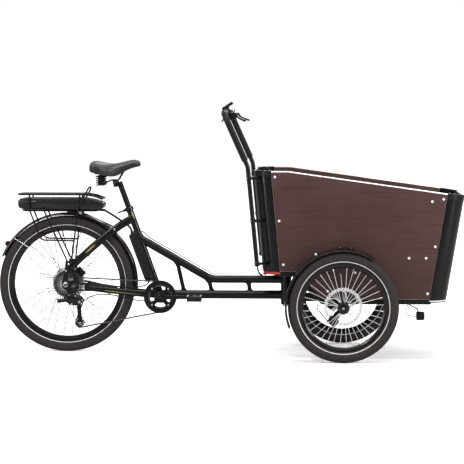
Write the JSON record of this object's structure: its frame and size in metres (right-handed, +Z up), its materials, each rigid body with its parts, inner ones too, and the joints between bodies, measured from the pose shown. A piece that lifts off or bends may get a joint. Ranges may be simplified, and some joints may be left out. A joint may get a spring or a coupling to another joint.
{
  "type": "electric cargo tricycle",
  "caption": "Front-loading electric cargo tricycle: plywood box on a steering two-wheeled front, hub motor rear wheel, rack battery, chain drive, saddle and U-shaped handlebar.",
  "frame": {"origin": "on the ground, in the middle plane, halfway between the rear tyre's back and the box's front edge", "axes": "+X forward, +Y to the rider's left, +Z up"},
  "size_m": [2.2358, 0.894, 1.2198],
  "materials": {
    "frame_black": "satin black powder coat",
    "steel": "zinc-plated or stainless steel",
    "satin_black": "satin black",
    "plastic": "fine-grained black plastic",
    "red_lens": "clear red lens",
    "rubber": "matt black rubber",
    "tyre": "matt tread rubber with a pale reflective stripe",
    "saddle": "satin black cover",
    "plywood": "dark reddish-brown film-faced plywood",
    "gloss_black": "glossy black",
    "screen": "glossy dark screen in a black case"
  },
  "bodies": {
    "frame": {"main_frame": "frame_black", "rear_triangle": "frame_black", "bottom_bracket": "steel", "rear_axle": "steel", "seat_clamp": "satin_black", "controller_case": "plastic", "rear_mudguard": "satin_black", "tail_light": "red_lens", "rear_rack": "satin_black", "rear_caliper": "satin_black", "chain": "steel", "derailleur": "plastic"},
    "guide_pulley": {"guide_pulley": "plastic"},
    "tension_pulley": {"tension_pulley": "plastic"},
    "clamp_lever": {"clamp_lever": "satin_black"},
    "rack_clip": {"rack_clip": "rubber"},
    "battery": {"battery": "plastic"},
    "rear_wheel": {"rear_tyre": "tyre", "rear_rim": "satin_black", "hub_motor": "plastic"},
    "cassette": {"cassette": "steel"},
    "cranks": {"crank_set": "satin_black"},
    "pedal_right": {"pedal_right": "rubber"},
    "pedal_left": {"pedal_left": "rubber"},
    "seat": {"seat_post": "satin_black", "saddle_rails": "satin_black", "saddle_spring_right": "satin_black", "saddle_spring_left": "satin_black"},
    "saddle": {"saddle": "saddle"},
    "front": {"front_subframe": "satin_black", "kingpin": "steel", "box_frame": "satin_black", "box_side_right": "plywood", "box_side_left": "plywood", "box_rear": "plywood", "box_front": "plywood", "box_floor": "plywood", "bench": "plywood", "front_mudguard_right": "gloss_black", "front_mudguard_left": "gloss_black", "front_caliper_right": "satin_black", "front_caliper_left": "satin_black", "handlebar": "satin_black", "grip_right": "rubber", "grip_left": "rubber", "control_clamp_right": "satin_black", "control_clamp_left": "satin_black", "display": "screen", "headlight": "plastic"},
    "display_keys": {"display_keys": "plastic"},
    "bell_lever": {"bell_lever": "steel"},
    "brake_lever_right": {"brake_lever_right": "satin_black"},
    "brake_lever_left": {"brake_lever_left": "satin_black"},
    "shift_lever": {"shift_lever": "plastic"},
    "front_wheel_right": {"front_tyre_right": "tyre", "front_rim_right": "satin_black", "front_hub_right": "satin_black"},
    "front_wheel_left": {"front_tyre_left": "tyre", "front_rim_left": "satin_black", "front_hub_left": "satin_black"}
  },
  "joints": [
    {"name": "steering", "type": "hinge", "parent": "frame", "child": "front", "pos_m": [0.27662, 0, 0.2465], "axis": [0, 0, 1], "range_deg": [-35, 35]},
    {"name": "rear_wheel_spin", "type": "hinge", "parent": "frame", "child": "rear_wheel", "pos_m": [-0.78688, 0, 0.331], "axis": [0, 1, 0], "continuous": true},
    {"name": "front_wheel_right_spin", "type": "hinge", "parent": "front", "child": "front_wheel_right", "pos_m": [0.55112, -0.4, 0.258], "axis": [0, 1, 0], "continuous": true},
    {"name": "front_wheel_left_spin", "type": "hinge", "parent": "front", "child": "front_wheel_left", "pos_m": [0.55112, 0.4, 0.258], "axis": [0, 1, 0], "continuous": true},
    {"name": "crank_spin", "type": "hinge", "parent": "frame", "child": "cranks", "pos_m": [-0.32988, 0, 0.272], "axis": [0, 1, 0], "continuous": true},
    {"name": "cassette_spin", "type": "hinge", "parent": "frame", "child": "cassette", "pos_m": [-0.78688, 0, 0.331], "axis": [0, 1, 0], "continuous": true},
    {"name": "guide_pulley_spin", "type": "hinge", "parent": "frame", "child": "guide_pulley", "pos_m": [-0.72688, -0.0475, 0.2525], "axis": [0, 1, 0], "continuous": true},
    {"name": "tension_pulley_spin", "type": "hinge", "parent": "frame", "child": "tension_pulley", "pos_m": [-0.71988, -0.0475, 0.1435], "axis": [0, 1, 0], "continuous": true},
    {"name": "pedal_right_spin", "type": "hinge", "parent": "cranks", "child": "pedal_right", "pos_m": [-0.15988, 0, 0.272], "axis": [0, 1, 0], "continuous": true},
    {"name": "pedal_left_spin", "type": "hinge", "parent": "cranks", "child": "pedal_left", "pos_m": [-0.49988, 0, 0.272], "axis": [0, 1, 0], "continuous": true},
    {"name": "seat_height", "type": "slide", "parent": "frame", "child": "seat", "axis": [-0.342, 0, 0.9397], "range_m": [-0.04, 0.04]},
    {"name": "saddle_flex", "type": "hinge", "parent": "seat", "child": "saddle", "pos_m": [-0.50867, 0, 0.88042], "axis": [0, -1, 0], "range_deg": [0, 3], "stiffness_Nm_per_rad": 600, "deforming": ["saddle_spring_right", "saddle_spring_left"]},
    {"name": "clamp_lever_swing", "type": "hinge", "parent": "frame", "child": "clamp_lever", "pos_m": [-0.50792, -0.0183, 0.68661], "axis": [-0.342, 0, 0.9397], "range_deg": [0, 120]},
    {"name": "rack_clip_swing", "type": "hinge", "parent": "frame", "child": "rack_clip", "pos_m": [-0.72188, 0, 0.7087], "axis": [0, -1, 0], "range_deg": [-20, 70]},
    {"name": "battery_slide", "type": "slide", "parent": "frame", "child": "battery", "axis": [-1, 0, 0], "range_m": [0, 0.42]},
    {"name": "brake_lever_right_squeeze", "type": "hinge", "parent": "front", "child": "brake_lever_right", "pos_m": [0.03412, -0.1, 1.1509], "axis": [0, 0, -1], "range_deg": [0, 18], "stiffness_Nm_per_rad": 0.4},
    {"name": "brake_lever_left_squeeze", "type": "hinge", "parent": "front", "child": "brake_lever_left", "pos_m": [0.03412, 0.1, 1.1509], "axis": [0, 0, 1], "range_deg": [0, 18], "stiffness_Nm_per_rad": 0.4},
    {"name": "shift_lever_push", "type": "hinge", "parent": "front", "child": "shift_lever", "pos_m": [-0.00788, -0.07, 1.1589], "axis": [0, -1, 0], "range_deg": [0, 20], "stiffness_Nm_per_rad": 0.2, "springref_deg": -5.73},
    {"name": "bell_lever_flick", "type": "hinge", "parent": "front", "child": "bell_lever", "pos_m": [0.01412, -0.0205, 1.1714], "axis": [-0.9536, 0, -0.3011], "range_deg": [0, 20], "stiffness_Nm_per_rad": 0.05},
    {"name": "display_keys_press", "type": "slide", "parent": "front", "child": "display_keys", "axis": [0.5592, 0, -0.829], "range_m": [0, 0.001], "stiffness_N_per_m": 400}
  ],
  "couplings": [
    {"joint": "cassette_spin", "follows": "crank_spin", "ratio": 2.1176},
    {"joint": "guide_pulley_spin", "follows": "crank_spin", "ratio": -3.2727},
    {"joint": "tension_pulley_spin", "follows": "crank_spin", "ratio": 3.2727}
  ]
}
